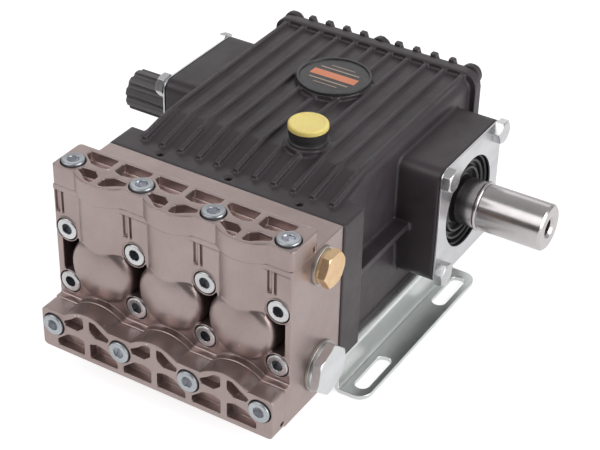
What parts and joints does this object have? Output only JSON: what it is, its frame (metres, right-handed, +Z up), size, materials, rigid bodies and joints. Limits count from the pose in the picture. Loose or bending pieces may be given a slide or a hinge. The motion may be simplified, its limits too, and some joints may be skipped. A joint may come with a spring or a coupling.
{
  "type": "three-plunger high-pressure pump",
  "caption": "Plunger pump with a nickel-finished valve head, a ribbed black crankcase, a through crankshaft and two slotted mounting rails.",
  "frame": {"origin": "on the floor under the middle of the pump's bounding box", "axes": "+X along the crankshaft towards its drive end, +Y from the valve head to the rear cover, +Z up"},
  "size_m": [0.2894, 0.2656, 0.1364],
  "materials": {
    "head_nickel": "satin nickel plate over cast brass",
    "case_black": "satin black paint over cast aluminium",
    "shaft_steel": "ground steel",
    "bright_zinc": "bright zinc plate",
    "dull_zinc": "dull zinc plate",
    "rail_zinc": "zinc-plated bent sheet",
    "cover_bright": "machined bright",
    "plug_brass": "machined brass",
    "plug_zinc": "zinc plate",
    "washer_metal": "soft metal",
    "seal_rubber": "oil-resistant rubber",
    "black_plastic": "moulded",
    "cap_yellow": "moulded",
    "badge_black": "printed label in a raised ring",
    "glass_clear": "clear"
  },
  "bodies": {
    "housing": {"head": "head_nickel", "top_valve_cover": "head_nickel", "bottom_valve_cover": "head_nickel", "head_screws_upper": "bright_zinc", "head_screws_lower": "bright_zinc", "top_cover_screws": "dull_zinc", "bottom_cover_screws": "dull_zinc", "outlet_washer": "washer_metal", "outlet_plug": "plug_brass", "inlet_washer": "washer_metal", "inlet_plug": "plug_zinc", "crankcase": "case_black", "bearing_right": "shaft_steel", "oil_seal_right": "seal_rubber", "bearing_cover_right": "cover_bright", "bearing_bolts_right": "bright_zinc", "bearing_left": "shaft_steel", "oil_seal_left": "seal_rubber", "bearing_cover_left": "cover_bright", "bearing_bolts_left": "bright_zinc", "rear_cover": "case_black", "rear_cover_screws": "dull_zinc", "sight_glass": "glass_clear", "sight_glass_rim": "black_plastic", "drain_plug": "plug_brass", "oil_cap_neck": "black_plastic", "oil_cap": "cap_yellow", "badge": "badge_black", "rail_right": "rail_zinc", "rail_left": "rail_zinc", "rail_screws_right": "bright_zinc", "rail_screws_left": "bright_zinc"},
    "shaft": {"crankshaft": "shaft_steel", "shaft_cap": "black_plastic"}
  },
  "joints": [
    {"name": "crankshaft_spin", "type": "hinge", "parent": "housing", "child": "shaft", "pos_m": [0, 0.05095, 0.076], "axis": [1, 0, 0], "continuous": true}
  ]
}
